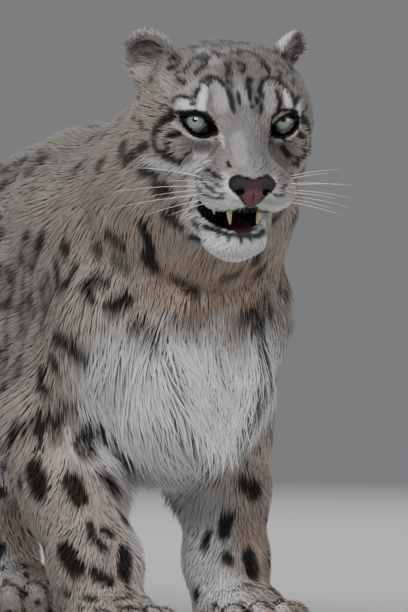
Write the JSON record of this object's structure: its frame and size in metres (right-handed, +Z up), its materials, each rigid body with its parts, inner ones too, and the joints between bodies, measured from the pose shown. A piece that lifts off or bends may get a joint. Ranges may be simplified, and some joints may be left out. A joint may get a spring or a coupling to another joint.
{
  "type": "snow leopard",
  "caption": "Life-size still model of a snow leopard standing low on broad paws, head turned, mouth open, long thick tail held behind.",
  "frame": {"origin": "on the floor under the middle of the animal's outline", "axes": "+Z up, +Y from the head towards the tail, +X towards the animal's left"},
  "size_m": [0.3136, 1.6486, 0.5832],
  "materials": {
    "coat": "dense grey fur with black rosettes and a white underside",
    "eye": "wet, pale grey-green iris round a black pupil",
    "nose_leather": "damp, finely pebbled bare skin",
    "tongue": "wet flesh with fine rough points",
    "tooth": "smooth enamel, yellowed with age"
  },
  "bodies": {
    "root": {"head": "coat", "lower_jaw": "coat", "ear_left": "coat", "ear_right": "coat", "neck": "coat", "torso": "coat", "forepaw_right": "coat", "forearm_right": "coat", "shoulder_right": "coat", "forepaw_left": "coat", "forearm_left": "coat", "shoulder_left": "coat", "hindpaw_right": "coat", "shank_right": "coat", "thigh_right": "coat", "hindpaw_left": "coat", "shank_left": "coat", "thigh_left": "coat", "tail_root": "coat", "tail_upper": "coat", "tail_lower": "coat", "tail_tip": "coat", "eye_left": "eye", "eye_right": "eye", "nose": "nose_leather", "tongue": "tongue", "canine_left": "tooth", "canine_right": "tooth", "premolar_left": "tooth", "premolar_right": "tooth"}
  },
  "joints": []
}
